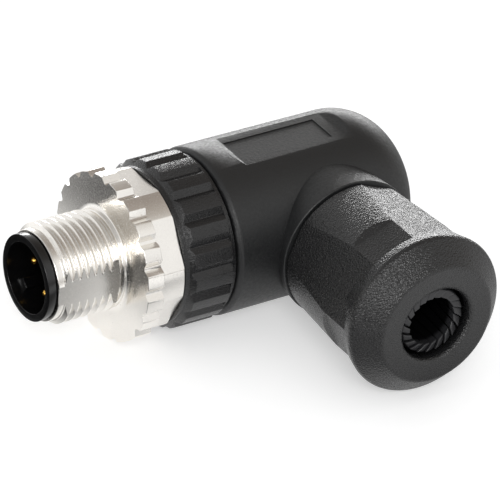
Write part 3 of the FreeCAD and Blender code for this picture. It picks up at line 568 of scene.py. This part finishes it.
def make_finishes(finish):
    # Nickel plate over a tumbled zinc die-casting: satin, warm grey, faintly pitted
    tree = new_tree("nickel_plated_die_casting")
    fine = grain(tree, 0.12, 3.0)
    broad = grain(tree, 2.5)
    normal = bump(tree, fine, 0.0015)
    normal = bump(tree, broad, 0.006, under=normal)
    shade(tree, add(tree, "ShaderNodeBsdfPrincipled", {
        "Base Color": tone(tree, spread(tree, broad, 0.0, 1.0), with_alpha(finish.nickel, 0.95),
                           with_alpha(finish.nickel)),
        "Metallic": 1.0, "Roughness": spread(tree, fine, 0.2, 0.28), "Normal": normal,
    }))

    # Hard gold over turned brass: bright, warm, with fine turning marks across the pin
    tree = new_tree("gold_plated_brass")
    place = add(tree, "ShaderNodeTexCoord").outputs["Object"]
    rings = add(tree, "ShaderNodeTexWave", {
        "Vector": place, "Scale": 1 / (0.3 * MM), "Distortion": 0.4,
    }).outputs["Fac"]
    shade(tree, add(tree, "ShaderNodeBsdfPrincipled", {
        "Base Color": with_alpha(finish.gold), "Metallic": 1.0,
        "Roughness": spread(tree, rings, 0.16, 0.26), "Normal": bump(tree, rings, 0.002),
    }))

    # Glass-filled polyester moulded in a polished tool: deep black and glossy, hardly any texture
    tree = new_tree("polished_polyester_moulding")
    fine = grain(tree, 0.5)
    shade(tree, add(tree, "ShaderNodeBsdfPrincipled", {
        "Base Color": tone(tree, spread(tree, fine, 0.0, 1.0), with_alpha(finish.insert, 0.8),
                           with_alpha(finish.insert)),
        "Roughness": spread(tree, fine, 0.16, 0.24), "IOR": 1.55, "Normal": bump(tree, fine, 0.003),
    }))

    # Polyamide moulded in a finely etched tool: matt, slightly grey where the light grazes it
    tree = new_tree("fine_etched_polyamide")
    fine = grain(tree, 0.16)
    cloud = grain(tree, 3.0, 3.0)
    shade(tree, add(tree, "ShaderNodeBsdfPrincipled", {
        "Base Color": tone(tree, spread(tree, cloud, 0.0, 1.0), with_alpha(finish.housing, 0.88),
                           with_alpha(finish.housing)),
        "Roughness": spread(tree, fine, 0.4, 0.54), "IOR": 1.53, "Normal": bump(tree, fine, 0.02),
    }))

    # Polyamide moulded in a spark-eroded tool: dull black with a sparkle on each crater's edge.
    # The ring's craters are finer than the nut's.
    for name, size, depth, dull in SPARK_ERODED:
        tree = new_tree(name)
        place = add(tree, "ShaderNodeTexCoord").outputs["Object"]
        crater = add(tree, "ShaderNodeTexVoronoi", {
            "Vector": place, "Scale": 1 / (size * MM), "Randomness": 1.0,
        }, feature="F1").outputs["Distance"]
        fine = grain(tree, size / 2, roughness=0.6)
        normal = bump(tree, crater, depth)
        normal = bump(tree, fine, depth * 0.75, under=normal)
        shade(tree, add(tree, "ShaderNodeBsdfPrincipled", {
            "Base Color": tone(tree, spread(tree, fine, 0.0, 1.0), with_alpha(finish.grip, 0.7),
                               with_alpha(finish.grip)),
            "Roughness": spread(tree, fine, dull, dull + 0.12), "IOR": 1.53, "Normal": normal,
        }))

    # Polyamide from a plain tool: smooth and half matt at the clamp cage's tips. Deeper inside,
    # painted shade makes it dead black
    tree = new_tree("plain_polyamide")
    fine = grain(tree, 0.3)
    place = add(tree, "ShaderNodeTexCoord").outputs["Object"]
    # Painted shade: deeper in the nut than the tips, the cage is coloured near black and reflects
    # little
    inside = ramp(tree, parts_of(tree, place)["Y"], -27.6 * MM, -26.8 * MM, 0.0, 1.0)
    tips = tone(tree, spread(tree, fine, 0.0, 1.0), with_alpha(finish.cage, 0.85),
                with_alpha(finish.cage))
    shade(tree, add(tree, "ShaderNodeBsdfPrincipled", {
        "Base Color": tone(tree, inside, tips, with_alpha(finish.cage, 0.12)),
        "Roughness": spread(tree, fine, 0.34, 0.44), "IOR": 1.53, "Normal": bump(tree, fine, 0.006),
        "Specular IOR Level": ramp(tree, inside, 0.0, 1.0, 0.5, 0.08),
    }))

    # Nitrile rubber: soft, dull, with a dusty bloom
    tree = new_tree("nitrile_rubber")
    fine = grain(tree, 0.25, 3.0)
    shade(tree, add(tree, "ShaderNodeBsdfPrincipled", {
        "Base Color": tone(tree, spread(tree, fine, 0.0, 1.0), with_alpha(finish.rubber),
                           with_alpha(finish.rubber, 1.6)),
        "Roughness": spread(tree, fine, 0.55, 0.7), "IOR": 1.52, "Normal": bump(tree, fine, 0.01),
    }))

    # Ground spring steel and plated screws: cool grey with fine scratches
    tree = new_tree("ground_steel")
    place = add(tree, "ShaderNodeTexCoord").outputs["Object"]
    stretched = add(tree, "ShaderNodeMapping", {"Vector": place, "Scale": (1.0, 8.0, 1.0)})
    lines = add(tree, "ShaderNodeTexNoise", {
        "Vector": stretched.outputs["Vector"], "Scale": 0.5 / (0.3 * MM), "Detail": 2.0,
    }).outputs["Fac"]
    shade(tree, add(tree, "ShaderNodeBsdfPrincipled", {
        "Base Color": with_alpha(finish.steel), "Metallic": 1.0,
        "Roughness": spread(tree, lines, 0.26, 0.4), "Normal": bump(tree, lines, 0.003),
    }))


NODE_FINISHES = {
    "retaining_clip": "ground_steel",
    "carrier_seal": "nitrile_rubber",
    **{"terminal_screw_%d" % screw: "ground_steel" for screw in range(1, 5)},
}

# Pieces

class PLUG_OT_finishes(bpy.types.Operator):
    """Mix the finishes and give them to the inner pieces that keep their plain shape"""
    bl_idname = "plug.finishes"
    bl_label = "Finishes"

    def execute(self, context):
        make_finishes(context.scene.plug_finish)
        for node, material in NODE_FINISHES.items():
            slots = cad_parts[node].data.materials
            slots.clear()
            slots.append(bpy.data.materials[material])
        return {"FINISHED"}


class PLUG_OT_coupling_screw(bpy.types.Operator):
    """Turn the coupling screw, notch its grip, mill its flats and wind its thread"""
    bl_idname = "plug.coupling_screw"
    bl_label = "Coupling screw"

    def execute(self, context):
        nose = context.scene.plug_nose
        crest, root, pitch = nose.thread_radius / MM, nose.thread_root / MM, nose.thread_pitch / MM
        grip, corner, flat = nose.grip_radius / MM, nose.hex_corner / MM, nose.hex_flat / MM
        front, neck_end, grip_front, grip_back, back = 1.15, 9.35, 10.05, 12.2, 15.3
        bore, pilot, neck, collar_front, collar_back, edge = 5.05, 5.37, 5.32, 5.72, 5.74, 0.06
        screw = turned("coupling_screw_piece", NOSE, [
            (front, bore), (front, pilot, 0.12), (1.95, pilot), (2.17, crest), (8.9, crest),
            (9.15, neck), (neck_end, neck, 0.1), (9.42, collar_front, 0.18),
            (9.85, collar_back, 0.2), (grip_front, 6.2, 0.25), (grip_front, grip, edge),
            (grip_back, grip, edge), (grip_back, corner), (back, corner, edge), (back, bore),
        ], steps=160)
        notch = wedge_cutter("notch", grip - 0.6, grip, middle=1.7, floor_half=1.1, mouth_half=4.4,
                             start=9.5, end=12.6)
        combine(screw, repeat(notch, NOSE, nose.grip_notches))
        hexagon = chord_cutter("hex_cut", NOSE, flat, corner, nose_angle(31.3),
                               start=grip_back, end=15.8)
        combine(screw, repeat(hexagon, NOSE, 6))
        milled = chord_cutter("flat_cut", NOSE, nose.thread_flat / MM, crest, nose_angle(0.7),
                              start=0.6, end=neck_end)
        combine(screw, repeat(milled, NOSE, 2))
        soften(screw, 0.05)
        groove = helix_groove("groove", NOSE, root, crest, pitch,
                              start=1.467, turns=7.4, phase=-90.0)
        combine(screw, groove)
        close_slivers(screw)
        finish_piece(screw, "coupling_screw", "nickel_plate", "nickel_plated_die_casting",
                     "coupling_screw")
        return {"FINISHED"}


class PLUG_OT_union_ring(bpy.types.Operator):
    """Turn the union ring and cut its V grooves"""
    bl_idname = "plug.union_ring"
    bl_label = "Union ring"

    def execute(self, context):
        sizes = context.scene.plug_ring
        rib, hub, depth = sizes.rib_radius / MM, sizes.hub_radius / MM, sizes.groove_depth / MM
        front, floor, rib_back, back = 15.4, 17.0, 21.35, 22.05
        bore, thread, skirt = 6.95, 8.8, 9.5
        ring = turned("union_ring_piece", NOSE, [
            (front, bore), (front, hub, 0.1), (16.02, hub), (16.5, rib), (rib_back, rib),
            (21.5, skirt), (back, skirt, 0.12), (back, thread), (floor, thread), (floor, bore),
        ], steps=160)
        groove = wedge_cutter("groove", rib - depth, rib, middle=7.6, floor_half=0.15,
                              mouth_half=4.65, start=15.2, end=21.43)
        combine(ring, repeat(groove, NOSE, sizes.ribs))
        soften(ring, 0.05)
        finish_piece(ring, "union_ring", "textured_plastic", "fine_spark_eroded_polyamide",
                     "union_ring")
        return {"FINISHED"}


class PLUG_OT_insert(bpy.types.Operator):
    """Turn the insert's shroud, add its coding key, and stand the four contacts in it"""
    bl_idname = "plug.insert"
    bl_label = "Insert and contacts"

    def execute(self, context):
        nose = context.scene.plug_nose
        outer, bore, floor = nose.shroud_radius / MM, nose.shroud_bore / MM, nose.shroud_depth / MM
        pin, circle = nose.pin_radius / MM, nose.pin_circle / MM
        stem, clip_seat, shoulder, flange, block, back = 4.9, 4.55, 6.9, 8.2, 7.2, 29.6
        insert = turned("insert_piece", NOSE, [
            (floor, 0), (floor, bore, 0.15), (0, bore, 0.05), (0, outer, 0.06), (1.0, outer, 0.05),
            (1.0, stem), (13.07, stem), (13.07, clip_seat), (13.93, clip_seat), (13.93, stem),
            (15.35, stem), (15.35, shoulder), (17.05, shoulder), (17.05, flange), (18.65, flange),
            (18.65, block), (back, block, 0.3), (back, 0),
        ], closed=False)
        middle = math.degrees(nose.key_angle)
        crown, foot, crown_half, foot_half = 3.45, 4.5, 10.5, 10.0
        key = prism("key", NOSE, [
            polar(crown, nose_angle(middle - crown_half)),
            polar(crown, nose_angle(middle + crown_half)),
            polar(foot, nose_angle(middle + foot_half)),
            polar(foot, nose_angle(middle - foot_half)),
        ], start=1.4, end=floor + 0.3)
        soften(key, 0.12)
        combine(insert, key, "UNION")
        for place in range(4):
            angle = nose_angle(90.0 * place)
            room = rod(radius=1.53, depth=12, place=(25.55, *polar(circle, angle)),
                       turn=(0, math.radians(90), 0))
            combine(insert, room)
            sideways = math.radians(90 + angle) if place % 2 == 0 else 0
            shaft = rod(radius=1.35, depth=8, place=(26.6, *polar(6.8, angle)),
                        turn=(sideways, 0, 0))
            combine(insert, shaft)
        finish_piece(insert, "insert", "insert_plastic", "polished_polyester_moulding",
                     "contact_carrier")

        tip, clamp, hole, end = 2.4, 19.6, 23.55, 29.55
        shank, sleeve, wire = 0.7, 1.5, 0.8
        for contact in range(1, 5):
            across, up = polar(circle, nose_angle(180.0 + 90.0 * (contact - 1)))
            piece = turned("contact_pin_piece_%d" % contact, NOSE, [
                (tip, 0), (tip, 0.18, 0.08), (tip + 0.25, pin, 0.14), (floor, pin), (floor, shank),
                (clamp, shank), (clamp, sleeve, 0.1), (end, sleeve, 0.1), (end, wire, 0.1),
                (hole, wire), (hole, 0),
            ], steps=40, closed=False)
            pick(piece)
            piece.location = (0, across * MM, up * MM)
            apply_transform()
            finish_piece(piece, "insert", "gold_plate", "gold_plated_brass",
                         "contact_pin_%d" % contact)
        return {"FINISHED"}


class PLUG_OT_housing(bpy.types.Operator):
    """Join the elbow from two turned bodies, wind its threads, hollow it and sink the label"""
    bl_idname = "plug.housing"
    bl_label = "Angle housing"

    def execute(self, context):
        sizes = context.scene.plug_housing
        front, rear, tail = sizes.front_radius / MM, sizes.rear_radius / MM, sizes.tail_round / MM
        branch, label = sizes.branch_radius / MM, sizes.label_height / MM
        spigot_front, lip, end = 19.45, 22.2, 48.65
        rim, neck_end, pitch = 10.88, 18.6, 1.0
        spigot, neck, room, wires, seal = 8.75, 7.1, 7.5, 4.5, 5.5
        housing = turned("angle_housing_piece", NOSE, [
            (spigot_front, 0), (spigot_front, spigot, 0.15), (lip, spigot), (lip, front, 0.7),
            (end, rear, tail), (end, 0),
        ], steps=192, closed=False)
        arm = turned("branch", CABLE, [
            (0, 0), (0, 8.1), (5.44, 8.12), (rim, branch, 0.22), (rim, neck), (neck_end, neck, 0.2),
            (neck_end, 0),
        ], steps=160, closed=False)
        combine(housing, arm, "UNION")
        thread = helix_groove("neck_thread", CABLE, 6.75, neck, pitch, start=11.8, turns=6.4)
        combine(housing, thread)
        thread = helix_groove("spigot_thread", NOSE, 8.4, spigot, pitch, start=19.0, turns=2.8)
        combine(housing, thread)
        bore = turned("bore", NOSE, [
            (18.0, 0), (18.0, room), (34.9, room), (42.4, room / 2), (42.4, 0),
        ], steps=96, closed=False)
        combine(housing, bore)
        bore = turned("branch_bore", CABLE, [
            (0, 0), (0, wires), (12.6, wires), (12.6, seal), (20.0, seal), (20.0, 0),
        ], steps=96, closed=False)
        combine(housing, bore)
        soften(housing, 0.06, angle=35.0)
        # The label's field rises in a hollow curve at its rear end. Its sunk panel has crisp edges.
        field = slab("field", [
            (26.7, label), (39.5, label), (40.3, label + 0.08), (41.0, label + 0.28),
            (41.6, label + 0.6), (42.0, label + 1.0), (24.9, label + 1.0),
        ], half_width=12.0)
        combine(housing, field)
        panel_front, panel_back, sunk, above = 26.85, 38.95, label - 0.1, label + 0.3
        panel = slab("panel", [
            (panel_front, sunk), (panel_back, sunk), (panel_back, above), (panel_front, above),
        ], half_width=2.1)
        combine(housing, panel)
        finish_piece(housing, "housing", "housing_plastic", "fine_etched_polyamide",
                     "angle_housing")
        return {"FINISHED"}


class PLUG_OT_gland(bpy.types.Operator):
    """Model the gland nut with its flats, the fingers of the clamp cage and the cable seal"""
    bl_idname = "plug.gland"
    bl_label = "Cable gland"

    def execute(self, context):
        sizes = context.scene.plug_gland
        small, barrel = sizes.small_radius / MM, sizes.barrel_radius / MM
        bead, mouth = sizes.bead_radius / MM, sizes.mouth_radius / MM
        inner, flat_end, face = 11.15, 24.95, 29.25
        thread, flare = 7.15, 9.6
        nut = turned("gland_nut_piece", CABLE, [
            (inner, thread), (inner, small, 0.2), (19.9, barrel), (22.6, barrel + 0.02),
            (flat_end, flare), (26.5, bead, 0.45), (face, 7.25, 0.3), (face, mouth, 0.6),
            (27.6, mouth), (21.0, 6.55), (20.0, thread),
        ], steps=192)
        long_angle, spanner_angle = 68.0, 113.0
        flat = chord_cutter("long_flat", CABLE, sizes.long_flat / MM, flare, long_angle,
                            start=10.5, end=flat_end)
        combine(nut, repeat(flat, CABLE, 4))
        flat = chord_cutter("spanner_flat", CABLE, sizes.spanner_flat / MM, flare, spanner_angle,
                            start=20.3, end=flat_end)
        lead_in(flat, 1.2, polar(0.5, spanner_angle))
        combine(nut, repeat(flat, CABLE, 4))
        soften(nut, 0.14, angle=18.0, steps=3)
        finish_piece(nut, "gland_nut", "textured_plastic", "coarse_spark_eroded_polyamide",
                     "gland_nut")

        rim_front, rim_back, rim_radius, blank_radius = 18.75, 21.5, 6.4, 5.0
        rim = turned("clamp_cage_piece", CABLE, [
            (rim_front, CAGE_BORE), (rim_front, rim_radius, 0.15), (20.4, rim_radius, 0.15),
            (20.9, blank_radius), (rim_back, 4.9), (rim_back, CAGE_BORE),
        ], steps=96)
        finger = prism("finger", CABLE, [
            polar(CAGE_BORE, -FINGER_HALF), polar(blank_radius, -FINGER_HALF),
            polar(blank_radius, FINGER_HALF), polar(CAGE_BORE, FINGER_HALF),
        ], FINGER_START, FINGER_START + FINGER_LENGTH)
        shape_finger(finger)
        repeat(finger, CABLE, sizes.fingers)
        pick(rim, finger)
        bpy.ops.object.join()
        finish_piece(rim, "clamp_cage", "cage_plastic", "plain_polyamide", "clamp_cage")

        seal_front, seal_back, seal_bore, seal_radius = 12.65, 18.7, 2.8, 5.45
        seal = turned("cable_seal_piece", CABLE, [
            (seal_front, seal_bore, 0.3), (seal_front, seal_radius, 0.2),
            (seal_back, seal_radius, 0.2), (seal_back, seal_bore, 0.4),
        ], steps=96)
        finish_piece(seal, "housing", "seal_rubber", "nitrile_rubber", "cable_seal")
        return {"FINISHED"}


# A finger of the cage: where it starts along the cable's axis, its length, the radii inside and
# outside at its root and at its tip, and half its width in degrees
FINGER_START, FINGER_LENGTH = 21.2, 7.2
CAGE_BORE, CAGE_RADIUS = 3.45, 4.95
TIP_BORE, TIP_RADIUS = 2.92, 4.02
FINGER_HALF = 8.2


def shape_finger(finger):
    """Taper a straight finger towards its tip, twist it, and tilt the tip over its neighbour."""
    edit(finger, "FACE")
    bpy.ops.mesh.select_all(action="SELECT")
    bpy.ops.mesh.subdivide(number_cuts=3)
    leave_edit()
    for vertex in finger.data.vertices:
        along = -vertex.co.y / MM
        part = max(0.0, min(1.0, (along - FINGER_START) / FINGER_LENGTH))
        across, up = vertex.co.x - ELBOW.x, vertex.co.z
        reach, angle = math.hypot(across, up), math.atan2(up, across)
        depth = min(1.0, max(0.0, (reach / MM - CAGE_BORE) / 1.5))
        inner = CAGE_BORE + (TIP_BORE - CAGE_BORE) * part
        outer = CAGE_RADIUS + (TIP_RADIUS - CAGE_RADIUS) * part
        reach = (inner + (outer - inner) * depth) * MM
        tilt = 0.14 * angle / math.radians(FINGER_HALF) + 0.16
        vertex.co.y += tilt * part ** 4 * MM
        angle -= math.radians((6.0 + 13.0 * depth) * part)
        vertex.co.x = ELBOW.x + reach * math.cos(angle)
        vertex.co.z = reach * math.sin(angle)
    soften(finger, 0.16, angle=40.0, steps=3)


class PLUG_OT_studio(bpy.types.Operator):
    """Set the camera, the pale floor and the soft lights"""
    bl_idname = "plug.studio"
    bl_label = "Studio"

    def execute(self, context):
        studio = context.scene.plug_studio
        place_camera(studio)
        deselect_all()
        bpy.ops.mesh.primitive_plane_add(size=3.0, location=(0.01, -0.004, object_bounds()[0][2]))
        floor = bpy.context.object
        floor.name = "studio_floor"
        floor.data.materials.append(make_paper(studio))
        floor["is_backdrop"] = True
        make_room(context.scene, studio)
        for name, place, size, power in LAMPS:
            deselect_all()
            bpy.ops.object.light_add(type="AREA", location=place)
            lamp = bpy.context.object
            lamp.name = name
            lamp.data.shape = "RECTANGLE"
            lamp.data.size, lamp.data.size_y = size
            lamp.data.energy = power
            lamp.visible_camera = False
            lamp.rotation_euler = (ELBOW - Vector(place)).to_track_quat("-Z", "Y").to_euler()
        return {"FINISHED"}


# Name, place in metres, width and height in metres, and power in watts
LAMPS = (
    ("key_softbox", (-0.30, -0.63, 0.53), (0.30, 0.28), 2.3),
    ("left_softbox", (-0.755, -0.264, 0.085), (0.40, 0.25), 1.3),
    ("back_right_softbox", (0.50, 0.70, 0.05), (0.70, 0.20), 4.3),
)


# What a reflection sees around the nose, from the front horizon over the top to the back horizon:
# the share of that half turn and the colour there
SURROUNDINGS = (
    (0.00, (0.30, 0.26, 0.23)),
    (0.09, (1.0, 1.0, 1.0)),
    (0.30, (1.0, 0.99, 0.97)),
    (0.40, (0.48, 0.44, 0.40)),
    (0.56, (0.31, 0.27, 0.24)),
    (0.74, (0.42, 0.39, 0.36)),
    (0.90, (1.0, 1.0, 1.0)),
    (1.00, (1.0, 1.0, 1.0)),
)


def make_paper(studio):
    """White paper that the camera sees as plain white, with the object's shadow kept on it.

    A reflection sees it too, but with painted shade: darker beyond the nose, in a band in front of
    it, and under the housing.
    """
    tree = new_tree("pale_paper_sweep")
    path = add(tree, "ShaderNodeLightPath").outputs
    part = parts_of(tree, add(tree, "ShaderNodeTexCoord").outputs["Object"])
    # Painted shade for reflections: these masks darken the paper that glossy rays see, while the
    # camera still sees it white
    beside_nose = ramp(tree, part["X"], -16.5 * MM, -3 * MM, 0.03, 1.0)
    nose_side = combine_values(tree, "MAXIMUM", beside_nose,
                               ramp(tree, part["Y"], 30 * MM, 55 * MM, 0.0, 1.0))
    slant = combine_values(tree, "ADD", part["Y"], combine_values(tree, "MULTIPLY", part["X"], 0.8))
    under = combine_values(tree, "MULTIPLY", ramp(tree, slant, -18 * MM, -3 * MM, 0.3, 1.0),
                           ramp(tree, part["X"], 20 * MM, 30 * MM, 1.0, 0.5))
    front = combine_values(tree, "MAXIMUM", under,
                           ramp(tree, part["Y"], -36 * MM, -26 * MM, 1.0, 0.0))
    unshaded = combine_values(tree, "MULTIPLY", nose_side, front)
    dark = combine_values(tree, "SUBTRACT", 1.0, unshaded)
    # Painted shade: how much darker the paper's colour and glow are to a reflection
    painted_shade = combine_values(tree, "MULTIPLY", path["Is Glossy Ray"], dark)
    tint = tone(tree, painted_shade, (0.78, 0.78, 0.78, 1.0), BLACK)
    paper = add(tree, "ShaderNodeBsdfDiffuse", {"Color": tint})
    seen = combine_values(tree, "MAXIMUM", path["Is Camera Ray"], path["Is Glossy Ray"])
    shown = combine_values(tree, "SUBTRACT", seen, painted_shade)
    glow = add(tree, "ShaderNodeEmission", {
        "Color": WHITE, "Strength": combine_values(tree, "MULTIPLY", shown, studio.paper_glow),
    })
    shade(tree, add(tree, "ShaderNodeAddShader", {0: paper.outputs[0], 1: glow.outputs[0]}))
    return bpy.data.materials["pale_paper_sweep"]


def make_room(scene, studio):
    """White to the camera.

    A reflection sees a bright front, a dark ceiling, a white back, and a left wall that darkens
    upwards.
    """
    world = bpy.data.worlds.new("white_room")
    scene.world = world
    world.use_nodes = True
    tree = world.node_tree
    tree.nodes.clear()
    path = add(tree, "ShaderNodeLightPath").outputs
    way = parts_of(tree, add(tree, "ShaderNodeTexCoord").outputs["Generated"])
    forward = combine_values(tree, "MULTIPLY", way["Y"], -1.0)
    over = combine_values(tree, "ARCTAN2", way["Z"], forward)
    walls = add(tree, "ShaderNodeValToRGB", {"Fac": combine_values(tree, "DIVIDE", over, math.pi)})
    stops = walls.color_ramp.elements
    while len(stops) < len(SURROUNDINGS):
        stops.new(0.5)
    for stop, (share, rgb) in zip(stops, SURROUNDINGS):
        stop.position, stop.color = share, with_alpha(rgb)
    left = combine_values(tree, "MULTIPLY", ramp(tree, way["X"], 0.05, 0.35, 1.0, 0.0),
                          ramp(tree, way["Z"], 0.1, 0.4, 0.0, 1.0))
    left_wall = tone(tree, ramp(tree, way["Z"], 0.4, 0.65, 0.0, 1.0), WHITE, (0.5, 0.49, 0.48, 1.0))
    mirrored = tone(tree, left, walls.outputs["Color"], left_wall)
    even = (studio.sky_strength, studio.sky_strength, studio.sky_strength, 1.0)
    seen = tone(tree, path["Is Glossy Ray"], even, mirrored)
    clear = combine_values(tree, "MAXIMUM", path["Is Camera Ray"], path["Is Transmission Ray"])
    sky = add(tree, "ShaderNodeBackground", {"Color": tone(tree, clear, seen, WHITE)})
    add(tree, "ShaderNodeOutputWorld", {"Surface": sky.outputs[0]})


def place_camera(studio):
    """Stand the camera where the photograph was taken from, level with its roll."""
    azimuth, elevation, roll = studio.camera_azimuth, studio.camera_elevation, studio.camera_roll
    back = Vector((math.sin(azimuth) * math.cos(elevation),
                   -math.cos(azimuth) * math.cos(elevation),
                   math.sin(elevation)))
    level = Vector((0, 0, 1)).cross(back).normalized()
    upright = back.cross(level)
    right = level * math.cos(roll) + upright * math.sin(roll)
    up = upright * math.cos(roll) - level * math.sin(roll)
    half_frame = 250.0
    scale = studio.camera_distance / studio.focal_pixels
    eye = (ELBOW + back * studio.camera_distance
           - right * (studio.target_across - half_frame) * scale
           + up * (studio.target_down - half_frame) * scale)
    deselect_all()
    bpy.ops.object.camera_add()
    camera = bpy.context.object
    camera.name = "photo_camera"
    camera.matrix_world = Matrix((
        (right.x, up.x, back.x, eye.x),
        (right.y, up.y, back.y, eye.y),
        (right.z, up.z, back.z, eye.z),
        (0, 0, 0, 1),
    ))
    camera.data.sensor_width = 36.0
    camera.data.lens = studio.focal_pixels / (2 * half_frame) * camera.data.sensor_width
    camera.data.clip_end = 10.0
    bpy.context.scene.camera = camera


class PLUG_PT_panel(bpy.types.Panel):
    """Lists the pieces in the sidebar"""
    bl_idname = "PLUG_PT_panel"
    bl_label = "M12 plug"
    bl_space_type = "VIEW_3D"
    bl_region_type = "UI"
    bl_category = "M12 plug"

    def draw(self, context):
        for operator in OPERATORS:
            self.layout.operator(operator.bl_idname)
        for name in GROUPS:
            group = getattr(context.scene, name)
            box = self.layout.box()
            for item in group.bl_rna.properties:
                if item.identifier not in ("rna_type", "name"):
                    box.prop(group, item.identifier)


GROUPS = {
    "plug_nose": PlugNose,
    "plug_ring": PlugRing,
    "plug_housing": PlugHousing,
    "plug_gland": PlugGland,
    "plug_finish": PlugFinish,
    "plug_studio": PlugStudio,
}
OPERATORS = [
    PLUG_OT_finishes,
    PLUG_OT_coupling_screw,
    PLUG_OT_union_ring,
    PLUG_OT_insert,
    PLUG_OT_housing,
    PLUG_OT_gland,
    PLUG_OT_studio,
]


def register():
    for item in list(GROUPS.values()) + OPERATORS + [PLUG_PT_panel]:
        bpy.utils.register_class(item)
    for name, group in GROUPS.items():
        setattr(bpy.types.Scene, name, bpy.props.PointerProperty(type=group))


def unregister():
    for name in GROUPS:
        delattr(bpy.types.Scene, name)
    for item in reversed(list(GROUPS.values()) + OPERATORS + [PLUG_PT_panel]):
        bpy.utils.unregister_class(item)


def main():
    register()
    bpy.context.scene.view_settings.view_transform = "Standard"
    bpy.ops.plug.finishes()
    bpy.ops.plug.coupling_screw()
    bpy.ops.plug.union_ring()
    bpy.ops.plug.insert()
    bpy.ops.plug.housing()
    bpy.ops.plug.gland()
    bpy.ops.plug.studio()


if __name__ == "__main__":
    main()
